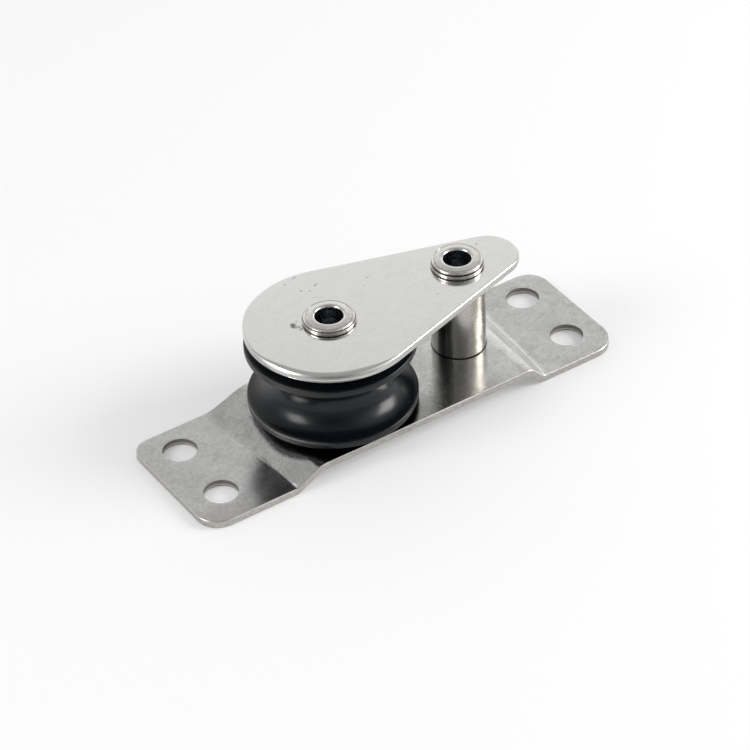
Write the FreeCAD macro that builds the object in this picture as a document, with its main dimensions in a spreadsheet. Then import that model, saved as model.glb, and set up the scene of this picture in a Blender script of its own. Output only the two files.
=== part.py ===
import FreeCAD, Part
import os
import Sketcher
from FreeCAD import Vector

# Small cheek block: a folded stainless base, a rope sheave on a hollow riveted axle, and a
# teardrop cheek plate held off the base by a second riveted tube. Millimetres, +Z up, +X from
# the sheave towards the second tube. The origin lies on the floor, midway along the base, on
# the line that both rivets and both hole pairs share.

SIZES = {
    # base plate, along X from its left end
    "left_flange": 18.2,
    "left_ramp": 5.8,
    "axle_setback": 12.2,
    "axle_to_tail": 28.5,
    "tail_setback": 6.7,
    "right_ramp": 2.7,
    "right_flange": 17.9,
    # base plate, across and up
    "base_width": 28.3,
    "row_offset": 0.6,
    "base_sheet": 1.5,
    "joggle": 2.9,
    # inner bend radii of the fold
    "left_foot_bend": 1.0,
    "left_top_bend": 3.5,
    "right_foot_bend": 0.8,
    "right_top_bend": 0.6,
    # corners and burr-free edges of the base
    "left_back_corner": 3.4,
    "left_front_corner": 4.6,
    "right_back_corner": 4.4,
    "right_front_corner": 5.3,
    "base_edge_round": 0.2,
    # mounting holes in the two flanges
    "hole_bore": 6.4,
    "hole_pitch": 14.4,
    "hole_to_left_end": 7.0,
    "hole_to_right_end": 7.2,
    # sheave
    "sheave_radius": 16.0,
    "sheave_width": 13.4,
    "rim_width": 1.4,
    "groove_depth": 5.0,
    "rim_round": 0.3,
    "hub_land": 2.74,
    "hub_proud": 0.3,
    "bore_clearance": 0.06,
    # what the sheave runs between
    "thrust_washer": 0.8,
    "thrust_land": 2.35,
    "thrust_clearance": 0.05,
    "seat_gap": 0.04,
    "end_play": 1.36,
    # cheek plate
    "cheek_sheet": 1.5,
    "cheek_overhang": 0.25,
    "cheek_offset": 0.3,
    "arc_offset": 0.2,
    "tail_overhang": 6.5,
    "tail_radius": 6.1,
    "cheek_edge_round": 1.0,
    "cheek_back_round": 0.2,
    # hollow rivets, and the tubes and washers that they pass through, built outwards from the bore
    "rivet_bore": 5.5,
    "rivet_wall": 0.55,
    "rivet_clearance": 0.05,
    "tube_wall": 1.85,
    "tube_edge_round": 0.2,
    "washer_land": 1.7,
    "washer_sheet": 0.8,
    "washer_edge_round": 0.25,
    "head_land": 1.5,
    "axle_head": 0.55,
    "tail_head": 0.95,
    "foot_head": 0.7,
    "head_edge_round": 0.3,
    "lip_round": 0.4,
}

doc = FreeCAD.newDocument("cheek_block")
sheet = doc.addObject("Spreadsheet::Sheet", "sizes")
for row, (alias, value) in enumerate(SIZES.items(), start=1):
    sheet.set(f"A{row}", str(value))
    sheet.setAlias(f"A{row}", alias)
doc.recompute()


class Length:
    """A length as a number, to start a sketch from, and as the sheet expression that drives it."""

    def __init__(self, number, text):
        self.number = number
        self.text = text

    def join(self, other, sign, number):
        return Length(number, f"({self.text} {sign} {as_length(other).text})")

    def __add__(self, other):
        return self.join(other, "+", self.number + as_length(other).number)

    def __sub__(self, other):
        return self.join(other, "-", self.number - as_length(other).number)

    def __mul__(self, other):
        return self.join(other, "*", self.number * as_length(other).number)

    def __truediv__(self, other):
        return self.join(other, "/", self.number / as_length(other).number)

    def __neg__(self):
        return Length(-self.number, f"(-1 * {self.text})")

    def root(self):
        return Length(self.number ** 0.5, f"sqrt({self.text})")


def as_length(value):
    return value if isinstance(value, Length) else Length(float(value), str(value))


def size(alias):
    return Length(SIZES[alias], f"sizes.{alias}")


ZERO = as_length(0)


# Places that several pieces share

half_length = (size("left_flange") + size("left_ramp") + size("axle_setback") + size("axle_to_tail")
               + size("tail_setback") + size("right_ramp") + size("right_flange")) / 2
left_end = -half_length
right_end = half_length
left_foot = left_end + size("left_flange")
left_top = left_foot + size("left_ramp")
axle_x = left_top + size("axle_setback")
tail_x = axle_x + size("axle_to_tail")
right_top = tail_x + size("tail_setback")
right_foot = right_top + size("right_ramp")

back_edge = size("base_width") / 2 - size("row_offset")
base_underside = size("joggle")
base_top = base_underside + size("base_sheet")
sheave_seat = base_top + size("thrust_washer") + size("seat_gap")
hub_width = size("sheave_width") + size("hub_proud") * 2
plate_gap = size("thrust_washer") * 2 + size("seat_gap") + hub_width + size("end_play")
cheek_underside = base_top + plate_gap
cheek_top = cheek_underside + size("cheek_sheet")

rivet_diameter = size("rivet_bore") + size("rivet_wall") * 2
rivet_hole = rivet_diameter + size("rivet_clearance") * 2
tube_diameter = rivet_hole + size("tube_wall") * 2
washer_diameter = rivet_hole + size("washer_land") * 2


# Helpers for bodies, sketches and features

def bind(thing, target, length):
    thing.setExpression(target, length.text)


def new_body(label, x=ZERO, z=ZERO):
    body = doc.addObject("PartDesign::Body", label)
    body.Label = label
    bind(body, "Placement.Base.x", x)
    bind(body, "Placement.Base.z", z)
    return body


def new_sketch(body, name, role):
    plane = [feature for feature in body.Origin.OriginFeatures if feature.Role == role][0]
    sketch = body.newObject("Sketcher::SketchObject", f"{body.Label}_{name}")
    sketch.AttachmentSupport = [(plane, "")]
    sketch.MapMode = "FlatFace"
    return sketch


def fix_value(sketch, constraint, length):
    index = sketch.addConstraint(constraint)
    sketch.setExpression(f"Constraints[{index}]", length.text)


def fix_point(sketch, geometry, position, across, up):
    """Hold one point of a sketch at signed distances from the sketch's origin."""
    if across.number == 0:
        sketch.addConstraint(Sketcher.Constraint("PointOnObject", geometry, position, -2))
    else:
        fix_value(sketch, Sketcher.Constraint("DistanceX", -1, 1, geometry, position, across.number), across)
    if up.number == 0:
        sketch.addConstraint(Sketcher.Constraint("PointOnObject", geometry, position, -1))
    else:
        fix_value(sketch, Sketcher.Constraint("DistanceY", -1, 1, geometry, position, up.number), up)


def draw_outline(sketch, corners):
    """A closed outline of straight sides through corners given as (across, up) lengths."""
    places = [Vector(across.number, up.number, 0) for across, up in corners]
    sides = []
    for here, there in zip(places, places[1:] + places[:1]):
        sides.append(sketch.addGeometry(Part.LineSegment(here, there), False))
    for side, following in zip(sides, sides[1:] + sides[:1]):
        sketch.addConstraint(Sketcher.Constraint("Coincident", side, 2, following, 1))
    for side, (across, up) in zip(sides, corners):
        fix_point(sketch, side, 1, across, up)


def draw_circle(sketch, across, up, diameter):
    centre = Vector(across.number, up.number, 0)
    circle = sketch.addGeometry(Part.Circle(centre, Vector(0, 0, 1), diameter.number / 2), False)
    fix_point(sketch, circle, 3, across, up)
    fix_value(sketch, Sketcher.Constraint("Diameter", circle, diameter.number), diameter)


def pad(body, sketch, thickness):
    feature = body.newObject("PartDesign::Pad", f"{sketch.Label}_pad")
    feature.Profile = sketch
    bind(feature, "Length", thickness)
    doc.recompute()


def revolve(body, sketch):
    feature = body.newObject("PartDesign::Revolution", f"{sketch.Label}_turned")
    feature.Profile = sketch
    feature.ReferenceAxis = (sketch, ["V_Axis"])
    feature.Angle = 360
    doc.recompute()


def cut_upwards(body, sketch):
    """Cut a sketch on the XY plane through everything above it."""
    before = body.Shape.Volume
    feature = body.newObject("PartDesign::Pocket", f"{sketch.Label}_cut")
    feature.Profile = sketch
    feature.Type = "ThroughAll"
    feature.Reversed = True
    doc.recompute()
    if body.Shape.Volume >= before:
        raise RuntimeError(f"{feature.Label} cuts nothing")


def round_edges(body, name, radius, wanted):
    """Fillet the edges of a body for which wanted(edge) is true."""
    base = body.Tip
    chosen = [f"Edge{n}" for n, edge in enumerate(base.Shape.Edges, start=1) if wanted(edge)]
    if not chosen:
        raise RuntimeError(f"{body.Label}: no edge found for {name}")
    feature = body.newObject("PartDesign::Fillet", f"{body.Label}_{name}")
    feature.Base = (base, chosen)
    bind(feature, "Radius", radius)
    doc.recompute()


def near(one, other):
    return abs(one - other) < 1e-4


def is_circle(edge, radius, height):
    """True for a round edge of this radius about the body's own Z axis, at this height."""
    if not isinstance(edge.Curve, Part.Circle):
        return False
    centre = edge.Curve.Center
    on_axis = near(centre.x, 0) and near(centre.y, 0)
    return on_axis and near(edge.Curve.Radius, radius) and near(centre.z, height)


# Base plate: a folded strip, its middle raised over the two flanges

def bend_shift(run):
    """How far a fold moves along X from one face of the sheet to the other."""
    rise = size("joggle")
    slope = (run * run + rise * rise).root()
    return size("base_sheet") * (slope - run) / rise


def fold_corners():
    """Each fold as (x on top, x underneath, z on top, inner radius, whether it opens upwards)."""
    left_shift = bend_shift(size("left_ramp"))
    right_shift = bend_shift(size("right_ramp"))
    flange_top = size("base_sheet")
    return [
        (left_foot, left_foot + left_shift, flange_top, size("left_foot_bend"), True),
        (left_top, left_top + left_shift, base_top, size("left_top_bend"), False),
        (right_top, right_top - right_shift, base_top, size("right_top_bend"), False),
        (right_foot, right_foot - right_shift, flange_top, size("right_foot_bend"), True),
    ]


def runs_across_at(x, z):
    """Pick the edge that runs across the base at this x and z."""
    def wanted(edge):
        box = edge.BoundBox
        return box.XLength < 1e-4 and box.ZLength < 1e-4 and near(box.XMin, x) and near(box.ZMin, z)
    return wanted


def stands_at(x, y):
    """Pick the upright edge at this x and y."""
    def wanted(edge):
        box = edge.BoundBox
        return box.XLength < 1e-4 and box.YLength < 1e-4 and near(box.XMin, x) and near(box.YMin, y)
    return wanted


def on_rim_of_base(edge):
    """True for the sharp edges that run round the strip's outline, on top and underneath."""
    middle = edge.valueAt((edge.FirstParameter + edge.LastParameter) / 2)
    front = back_edge.number - SIZES["base_width"]
    along_side = edge.BoundBox.YLength < 1e-4 and (near(middle.y, back_edge.number) or near(middle.y, front))
    upright = edge.BoundBox.XLength < 1e-4 and edge.BoundBox.YLength < 1e-4
    across_end = near(abs(middle.x), right_end.number) and edge.BoundBox.XLength < 1e-4
    level_arc = edge.BoundBox.ZLength < 1e-4 and isinstance(edge.Curve, Part.Circle)
    round_corner = level_arc and not near(edge.Curve.Radius, SIZES["hole_bore"] / 2)
    return not upright and (along_side or across_end or round_corner)


def make_base_plate():
    body = new_body("base_plate")
    folds = fold_corners()
    flange_top = size("base_sheet")
    underneath = [(left_end, ZERO)] + [(low, top - size("base_sheet")) for _, low, top, _, _ in folds]
    above = [(x, top) for x, _, top, _, _ in folds] + [(right_end, flange_top)]
    profile = new_sketch(body, "fold", "XZ_Plane")
    bind(profile, "AttachmentOffset.Base.z", -back_edge)
    draw_outline(profile, underneath + [(right_end, ZERO)] + above[::-1] + [(left_end, flange_top)])
    pad(body, profile, size("base_width"))

    for number, (x, low, top, inner, opens_up) in enumerate(folds, start=1):
        outer = inner + size("base_sheet")
        above_radius, below_radius = (inner, outer) if opens_up else (outer, inner)
        floor = top.number - SIZES["base_sheet"]
        round_edges(body, f"bend_{number}_top", above_radius, runs_across_at(x.number, top.number))
        round_edges(body, f"bend_{number}_under", below_radius, runs_across_at(low.number, floor))

    front_edge = back_edge - size("base_width")
    for name, x, y in (("left_back", left_end, back_edge), ("left_front", left_end, front_edge),
                       ("right_back", right_end, back_edge), ("right_front", right_end, front_edge)):
        round_edges(body, name, size(f"{name}_corner"), stands_at(x.number, y.number))

    holes = new_sketch(body, "holes", "XY_Plane")
    half_pitch = size("hole_pitch") / 2
    for x in (left_end + size("hole_to_left_end"), right_end - size("hole_to_right_end")):
        draw_circle(holes, x, half_pitch, size("hole_bore"))
        draw_circle(holes, x, -half_pitch, size("hole_bore"))
    for x in (axle_x, tail_x):
        draw_circle(holes, x, ZERO, rivet_hole)
    cut_upwards(body, holes)
    round_edges(body, "edge", size("base_edge_round"), on_rim_of_base)
    return body


# Cheek plate: a teardrop, one arc over the sheave and one round the tail. It was cut a little off
# its two holes: cheek_offset towards the front, and its large arc arc_offset towards the tail.

def make_cheek_plate():
    body = new_body("cheek_plate", axle_x, cheek_underside)
    big = size("sheave_radius") + size("cheek_overhang")
    small = size("tail_radius")
    start = size("arc_offset")
    reach = size("axle_to_tail") + size("tail_overhang")
    front_shift = -size("cheek_offset")
    lean = (big.number - small.number) / (reach - start).number
    side = (1 - lean * lean) ** 0.5
    outline = new_sketch(body, "outline", "XY_Plane")

    def arc(centre, radius, from_side, to_side):
        circle = Part.Circle(centre, Vector(0, 0, 1), radius)
        first = circle.parameter(centre + from_side * radius)
        last = circle.parameter(centre + to_side * radius)
        return outline.addGeometry(Part.ArcOfCircle(circle, first, last), False)

    back = Vector(lean, side, 0)
    front = Vector(lean, -side, 0)
    arc_centre = Vector(start.number, front_shift.number, 0)
    tail_centre = Vector(reach.number, front_shift.number, 0)
    big_arc = arc(arc_centre, big.number, back, front)
    tail_arc = arc(tail_centre, small.number, front, back)
    lower = outline.addGeometry(Part.LineSegment(
        arc_centre + front * big.number, tail_centre + front * small.number), False)
    upper = outline.addGeometry(Part.LineSegment(
        tail_centre + back * small.number, arc_centre + back * big.number), False)
    for first, first_end, second, second_end in ((big_arc, 2, lower, 1), (lower, 2, tail_arc, 1),
                                                 (tail_arc, 2, upper, 1), (upper, 2, big_arc, 1)):
        outline.addConstraint(Sketcher.Constraint("Tangent", first, first_end, second, second_end))
    fix_point(outline, big_arc, 3, start, front_shift)
    fix_point(outline, tail_arc, 3, reach, front_shift)
    fix_value(outline, Sketcher.Constraint("Radius", big_arc, big.number), big)
    fix_value(outline, Sketcher.Constraint("Radius", tail_arc, small.number), small)
    draw_circle(outline, ZERO, ZERO, rivet_hole)
    draw_circle(outline, size("axle_to_tail"), ZERO, rivet_hole)
    pad(body, outline, size("cheek_sheet"))

    def outer_rim(height):
        def wanted(edge):
            box = edge.BoundBox
            is_hole = isinstance(edge.Curve, Part.Circle) and near(edge.Curve.Radius, rivet_hole.number / 2)
            return near(box.ZMin, height) and box.ZLength < 1e-4 and not is_hole
        return wanted

    round_edges(body, "front_edge", size("cheek_edge_round"), outer_rim(SIZES["cheek_sheet"]))
    round_edges(body, "back_edge", size("cheek_back_round"), outer_rim(0))
    return body


# Sheave: turned or moulded in one, with a round rope groove and a short hub boss on each face

def make_sheave():
    body = new_body("sheave", axle_x, sheave_seat)
    radius = size("sheave_radius")
    bore = tube_diameter / 2 + size("bore_clearance")
    hub = bore + size("hub_land")
    low_face = size("hub_proud")
    high_face = low_face + size("sheave_width")
    profile = new_sketch(body, "blank", "XZ_Plane")
    draw_outline(profile, [(bore, ZERO), (hub, ZERO), (hub, low_face), (radius, low_face),
                           (radius, high_face), (hub, high_face), (hub, hub_width), (bore, hub_width)])
    revolve(body, profile)

    half_mouth = size("sheave_width") / 2 - size("rim_width")
    depth = size("groove_depth")
    groove_radius = (half_mouth * half_mouth + depth * depth) / (depth * 2)
    rope = new_sketch(body, "rope", "XZ_Plane")
    draw_circle(rope, radius - depth + groove_radius, hub_width / 2, groove_radius * 2)
    before = body.Shape.Volume
    groove = body.newObject("PartDesign::Groove", "sheave_rope_groove")
    groove.Profile = rope
    groove.ReferenceAxis = (rope, ["V_Axis"])
    groove.Angle = 360
    doc.recompute()
    if body.Shape.Volume >= before:
        raise RuntimeError("the rope groove cuts nothing")

    def rim(edge):
        return isinstance(edge.Curve, Part.Circle) and near(edge.Curve.Radius, radius.number)

    round_edges(body, "rims", size("rim_round"), rim)
    return body


# Rings: tubes, washers and thrust washers are all a ring with a thickness

def make_ring(label, x, z, diameter, bore, thickness, edge_round):
    body = new_body(label, x, z)
    ring = new_sketch(body, "ring", "XY_Plane")
    draw_circle(ring, ZERO, ZERO, diameter)
    draw_circle(ring, ZERO, ZERO, bore)
    pad(body, ring, thickness)

    def outer(edge):
        return isinstance(edge.Curve, Part.Circle) and near(edge.Curve.Radius, diameter.number / 2)

    round_edges(body, "edges", edge_round, outer)
    return body


# Hollow rivets: a tube with its two ends rolled over

def make_rivet(label, x, head):
    foot = size("foot_head")
    start = base_underside - size("washer_sheet") - foot
    body = new_body(label, x, start)
    grip = cheek_top + size("washer_sheet") * 2 - base_underside
    overall = foot + grip + head
    bore = size("rivet_bore") / 2
    shank = rivet_diameter / 2
    rim = shank + size("head_land")
    profile = new_sketch(body, "section", "XZ_Plane")
    draw_outline(profile, [(bore, ZERO), (rim, ZERO), (rim, foot), (shank, foot),
                           (shank, foot + grip), (rim, foot + grip), (rim, overall), (bore, overall)])
    revolve(body, profile)
    for name, radius, round_size in (("heads", rim, "head_edge_round"), ("lips", bore, "lip_round")):
        def wanted(edge, radius=radius.number):
            return is_circle(edge, radius, 0) or is_circle(edge, radius, overall.number)
        round_edges(body, name, size(round_size), wanted)
    return body


pieces = [make_base_plate(), make_cheek_plate(), make_sheave()]

for label, x in (("axle_sleeve", axle_x), ("spacer_tube", tail_x)):
    pieces.append(make_ring(label, x, base_top, tube_diameter, rivet_hole, plate_gap,
                            size("tube_edge_round")))

thrust_bore = tube_diameter + size("thrust_clearance") * 2
thrust_diameter = thrust_bore + size("thrust_land") * 2
for label, z in (("lower_thrust_washer", base_top),
                 ("upper_thrust_washer", cheek_underside - size("thrust_washer"))):
    pieces.append(make_ring(label, axle_x, z, thrust_diameter, thrust_bore, size("thrust_washer"),
                            size("tube_edge_round")))

for name, x, head in (("axle", axle_x, size("axle_head")), ("tail", tail_x, size("tail_head"))):
    for place, z in (("head", cheek_top), ("foot", base_underside - size("washer_sheet"))):
        pieces.append(make_ring(f"{name}_{place}_washer", x, z, washer_diameter, rivet_hole,
                                size("washer_sheet"), size("washer_edge_round")))
    pieces.append(make_rivet(f"{name}_rivet", x, head))


# Check every object, then write one file for each piece

doc.recompute()
for thing in doc.Objects:
    if "Invalid" in thing.State or "Error" in thing.State:
        raise RuntimeError(f"{thing.Label} failed: {thing.State}")

os.makedirs("parts", exist_ok=True)
for piece in pieces:
    if piece.Shape.isNull() or not piece.Shape.isValid() or len(piece.Shape.Solids) != 1:
        raise RuntimeError(f"{piece.Label} has no valid single solid")
for piece in pieces:
    piece.Shape.exportStep(f"parts/{piece.Label}.step")
    box = piece.Shape.BoundBox
    print(f"{piece.Label}: {piece.Shape.Volume:.1f} mm3, x {box.XMin:.2f} to {box.XMax:.2f}, "
          f"y {box.YMin:.2f} to {box.YMax:.2f}, z {box.ZMin:.2f} to {box.ZMax:.2f}")
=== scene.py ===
# %% [markdown]
# # A riveted cheek block
# A cheek block is a pulley that is screwed flat to a boat's deck or mast. This one has a folded
# stainless base, a black plastic sheave, and a teardrop cheek plate held by two hollow rivets.
# The measured model is loaded first and stays fixed. Each cell after it makes one piece or one
# finish that stands where the measured one is.

# %% Load the measured model
import math

import bmesh
import bpy
from mathutils import Matrix, Vector


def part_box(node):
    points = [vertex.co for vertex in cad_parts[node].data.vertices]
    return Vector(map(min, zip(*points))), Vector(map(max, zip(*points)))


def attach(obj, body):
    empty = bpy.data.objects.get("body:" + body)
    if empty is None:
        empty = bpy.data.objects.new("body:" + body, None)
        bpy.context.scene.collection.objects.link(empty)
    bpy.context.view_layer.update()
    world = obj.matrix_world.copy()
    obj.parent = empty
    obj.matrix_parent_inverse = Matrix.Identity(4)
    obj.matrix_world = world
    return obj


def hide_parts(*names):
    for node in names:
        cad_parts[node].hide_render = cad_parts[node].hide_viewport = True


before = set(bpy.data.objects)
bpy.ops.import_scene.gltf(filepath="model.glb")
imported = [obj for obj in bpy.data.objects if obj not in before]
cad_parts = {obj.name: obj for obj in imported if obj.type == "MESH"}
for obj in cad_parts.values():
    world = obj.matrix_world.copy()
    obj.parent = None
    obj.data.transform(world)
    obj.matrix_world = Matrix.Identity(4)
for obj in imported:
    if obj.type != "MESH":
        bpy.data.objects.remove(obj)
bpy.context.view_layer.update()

MM = 0.001

# %% [markdown]
# ## The camera
# A small object that fills little of the frame and shows almost parallel edges was taken with a
# long lens from over half a metre away. A wide lens close by would give the same size but would
# swell the near corner. The camera leans by two and a half degrees, so its own up is turned.

# %% Camera


def new_object(name, data):
    made = bpy.data.objects.new(name, data)
    bpy.context.collection.objects.link(made)
    return made


AZIMUTH, ELEVATION, LEAN = (math.radians(a) for a in (-32.147, 38.943, -2.489))
DISTANCE = 575.83 * MM
AIM_ACROSS, AIM_UP, AIM_Y = -0.6935, 4.5324, -0.61  # from the block's origin, in millimetres

level = Vector((math.cos(AZIMUTH), math.sin(AZIMUTH), 0))
backwards = Vector((math.sin(AZIMUTH) * math.cos(ELEVATION),
                    -math.cos(AZIMUTH) * math.cos(ELEVATION), math.sin(ELEVATION)))
upwards = backwards.cross(level)
across = level * math.cos(LEAN) + upwards * math.sin(LEAN)
upright = upwards * math.cos(LEAN) - level * math.sin(LEAN)
aim = level * AIM_ACROSS * MM + upwards * AIM_UP * MM + Vector((0, AIM_Y, 0)) * MM

lens = bpy.data.cameras.new("long_lens")
lens.lens, lens.sensor_width = 146.66, 36.0
lens.clip_start, lens.clip_end = 0.01, 20
camera = new_object("camera", lens)
camera.matrix_world = Matrix.Translation(aim + backwards * DISTANCE) @ Matrix(
    (across, upright, backwards)).transposed().to_4x4()
bpy.context.scene.camera = camera
print("camera at, mm:", [round(v / MM, 1) for v in camera.matrix_world.translation])

# %% [markdown]
# ## Shader sums in plain Python
# A finish is mostly arithmetic: a scratch lowers the roughness, wear lightens a colour. Built by
# hand that is a thicket of Math nodes. The class below wraps one socket, so that `1 - mask * 0.3`
# adds the nodes by itself. Every other node comes from one method, `Finish.add`, which takes the
# node's type, then its settings, then the values or links of its sockets.

# %% A socket that does sums
RELIEF = 0.03 * MM


class Amount:
    """A number that varies over a surface, for use in sums."""

    def __init__(self, finish, socket):
        self.finish = finish
        self.socket = socket

    def math(self, operation, *others, clamp=False):
        values = dict(enumerate([self, *others]))
        return self.finish.add("ShaderNodeMath", {"operation": operation, "use_clamp": clamp}, values)

    def __add__(self, other):
        return self.math("ADD", other)

    def __sub__(self, other):
        return self.math("SUBTRACT", other)

    def __rsub__(self, other):
        return (self * -1) + other

    def __mul__(self, other):
        return self.math("MULTIPLY", other)

    def __truediv__(self, other):
        return self.math("DIVIDE", other)

    __radd__ = __add__
    __rmul__ = __mul__

    def clipped(self):
        return self.math("ADD", 0.0, clamp=True)

    def at_least(self, other):
        return self.math("MAXIMUM", other)

    def size(self):
        return self.math("ABSOLUTE")


class Finish:
    """One material, whose nodes are added through add()."""

    def __init__(self, name, tree=None):
        if tree is None:
            self.material = bpy.data.materials.new(name)
            self.material.use_nodes = True
            tree = self.material.node_tree
        tree.nodes.clear()
        self.tree = tree

    def add(self, kind, settings=None, values=None, output=0):
        node = self.tree.nodes.new(kind)
        for key, value in (settings or {}).items():
            if key == "stops":
                ramp = node.color_ramp
                for element, (place, tone) in zip([*ramp.elements], value[:2]):
                    element.position, element.color = place, tone
                for place, tone in value[2:]:
                    ramp.elements.new(place).color = tone
            else:
                setattr(node, key, value)
        for key, value in (values or {}).items():
            socket = node.inputs[key] if isinstance(key, int) else next(
                s for s in node.inputs if s.identifier == key or (s.name == key and s.enabled))
            if isinstance(value, Amount):
                self.tree.links.new(value.socket, socket)
            else:
                socket.default_value = value
        socket = node.outputs[output] if isinstance(output, int) else next(
            s for s in node.outputs if s.identifier == output or s.name == output)
        return Amount(self, socket)

    def vector(self, operation, *values):
        return self.add("ShaderNodeVectorMath", {"operation": operation}, dict(enumerate(values)))

    def blend(self, share, first, second):
        """Mix two colours, the second by the given share."""
        return self.add("ShaderNodeMix", {"data_type": "RGBA"},
                        {"Factor_Float": share, "A_Color": first, "B_Color": second}, "Result_Color")

    def layers(self, tone, *coats):
        """Lay coats over a tone, one after another; a coat is its share and its colour."""
        for share, colour in coats:
            tone = self.blend(share, tone, colour)
        return tone

    def stored(self, name):
        """A number that the mesh stores at each of its points."""
        return self.add("ShaderNodeAttribute", {"attribute_name": name}, {}, "Fac")

    def relief(self, height, strength):
        """Marks too shallow to model, as a bump for the Normal socket."""
        return self.add("ShaderNodeBump", {}, {"Strength": strength, "Distance": RELIEF, "Height": height})

    def millimetres(self, stretch=(1, 1, 1)):
        """The place on the piece, in millimetres, stretched along each axis."""
        place = self.add("ShaderNodeTexCoord", output="Object")
        return self.vector("MULTIPLY", place, [s / MM for s in stretch])

    def noise(self, place, scale, detail=3.0, grain=0.5):
        return self.add("ShaderNodeTexNoise", {"noise_dimensions": "3D"},
                        {"Vector": place, "Scale": scale, "Detail": detail, "Roughness": grain})

    def between(self, amount, low, high):
        """Nought below low, one above high, and a smooth rise from one to the other."""
        return self.add("ShaderNodeMapRange", {"interpolation_type": "SMOOTHSTEP"},
                        {"Value": amount, "From Min": low, "From Max": high})

    def parts(self, place):
        """The x, y and z of a place."""
        x = self.add("ShaderNodeSeparateXYZ", {}, {"Vector": place})
        y, z = (Amount(self, s) for s in x.socket.node.outputs[1:])
        return x, y, z

    def distance(self, x, y):
        return (x * x + y * y).math("SQRT")

    def surface(self, **sockets):
        """Close the material with a Principled shader: constants and links go on its own sockets."""
        named = {key.replace("_", " ").title().replace("Ior", "IOR"): v for key, v in sockets.items()}
        shader = self.add("ShaderNodeBsdfPrincipled", {}, named)
        self.add_output("ShaderNodeOutputMaterial", shader)
        return self.material

    def add_output(self, kind, shader):
        node = self.tree.nodes.new(kind)
        self.tree.links.new(shader.socket, node.inputs["Surface"])


print("shader helpers ready")

# %% [markdown]
# ## The table and the light
# Small hardware is photographed on a white sweep between two soft boxes. The floor is plain
# white paper that keeps the block's shadow; what the camera and shiny metal see of it is lifted
# a little, which makes the background white without more light on the block. Polished steel
# shows whatever surrounds it, so the room matters as much as the lamps: white paper behind,
# and a dimmer room on the camera's side, with a glow round each lamp. The paper lies a hair
# below the base, because two faces at one height would flicker through each other.

# %% Floor
FLOOR_HALF = 3.0
FLOOR_DROP = 0.02 * MM
PAPER_TONE, PAPER_LIFT = 0.635, 0.26
paper = Finish("white_paper")
light_path = paper.add("ShaderNodeLightPath", output="Is Camera Ray")
glossy, clear = (Amount(paper, light_path.socket.node.outputs[n])
                 for n in ("Is Glossy Ray", "Is Transmission Ray"))
seen = light_path.at_least(glossy).at_least(clear)
paper_diffuse = paper.add("ShaderNodeBsdfDiffuse", {}, {"Color": (PAPER_TONE, PAPER_TONE, PAPER_TONE, 1)})
lift = paper.add("ShaderNodeEmission", {}, {"Color": (1, 1, 1, 1), "Strength": seen * PAPER_LIFT})
paper.add_output("ShaderNodeOutputMaterial",
                 paper.add("ShaderNodeAddShader", {}, {0: paper_diffuse, 1: lift}))

floor_mesh = bpy.data.meshes.new("floor")
floor_corners = [(x * FLOOR_HALF, y * FLOOR_HALF, -FLOOR_DROP)
                 for x, y in ((-1, -1), (1, -1), (1, 1), (-1, 1))]
floor_mesh.from_pydata(floor_corners, [], [(0, 1, 2, 3)])
floor_mesh.materials.append(paper.material)
floor = new_object("floor", floor_mesh)
print("floor reaches", FLOOR_HALF, "m each way")

# %% Room and soft boxes
world = bpy.context.scene.world or bpy.data.worlds.new("room")
bpy.context.scene.world = world
world.use_nodes = True
room = Finish("room", world.node_tree)
towards_x, towards_y, towards_z = room.parts(room.add("ShaderNodeTexCoord", output="Generated"))


def facing(azimuth, elevation):
    """The direction to a place in the room; azimuth 0 is straight in front of the block."""
    a, e = math.radians(azimuth), math.radians(elevation)
    return Vector((math.sin(a) * math.cos(e), -math.cos(a) * math.cos(e), math.sin(e)))


def along(direction):
    """How far each direction of the room points along the given one, from -1 to 1."""
    return towards_x * direction.x + towards_y * direction.y + towards_z * direction.z


def glow(azimuth, elevation, reach):
    """A soft patch of light: 1 in its middle, nought at reach degrees from it."""
    apart = along(facing(azimuth, elevation)).math("ARCCOSINE")
    return 1.0 - room.between(apart, 0.0, math.radians(reach))


ROOM_TONES = [  # angle from the camera's own direction, degrees, and brightness there
    (0, 0.19), (15, 0.27), (30, 0.46), (67, 0.54), (88, 0.61), (98, 0.72), (101, 0.84), (104.5, 1.0),
    (115, 1.15), (130, 1.25)]
stops = [((math.cos(math.radians(angle)) + 1) / 2, (grey, grey, grey, 1)) for angle, grey in ROOM_TONES]
from_camera = room.add("ShaderNodeValToRGB", {"stops": stops[::-1]}, {"Fac": along(backwards) * 0.5 + 0.5})
tone = room.add("ShaderNodeRGBToBW", {}, {"Color": from_camera})
tone = tone + glow(47, 33, 40) * 0.9 + glow(-100, 30, 34) * 1.1
camera_ray = room.add("ShaderNodeLightPath", output="Is Camera Ray")
shown = tone + camera_ray * (1.0 - tone)
backdrop = room.add("ShaderNodeBackground", {}, {"Color": (1, 1, 1, 1), "Strength": shown})
room.add_output("ShaderNodeOutputWorld", backdrop)


def soft_box(name, azimuth, elevation, width, height, distance, brightness):
    """A square of even light that faces the block; brightness 1 is paper white."""
    direction = facing(azimuth, elevation)
    lamp = bpy.data.lights.new(name, "AREA")
    lamp.shape, lamp.size, lamp.size_y = "RECTANGLE", width, height
    lamp.energy = brightness * math.pi * width * height
    box = new_object(name, lamp)
    box.location = direction * distance
    box.rotation_mode = "QUATERNION"
    box.rotation_quaternion = direction.to_track_quat("Z", "Y")


soft_box("left_box", -98, 36, 0.31, 0.31, 0.8, 6.0)
soft_box("right_box", 63, 28, 0.36, 0.40, 0.8, 9.3)
bpy.context.scene.view_settings.view_transform = "Standard"
print("two soft boxes and a white room")

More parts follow.
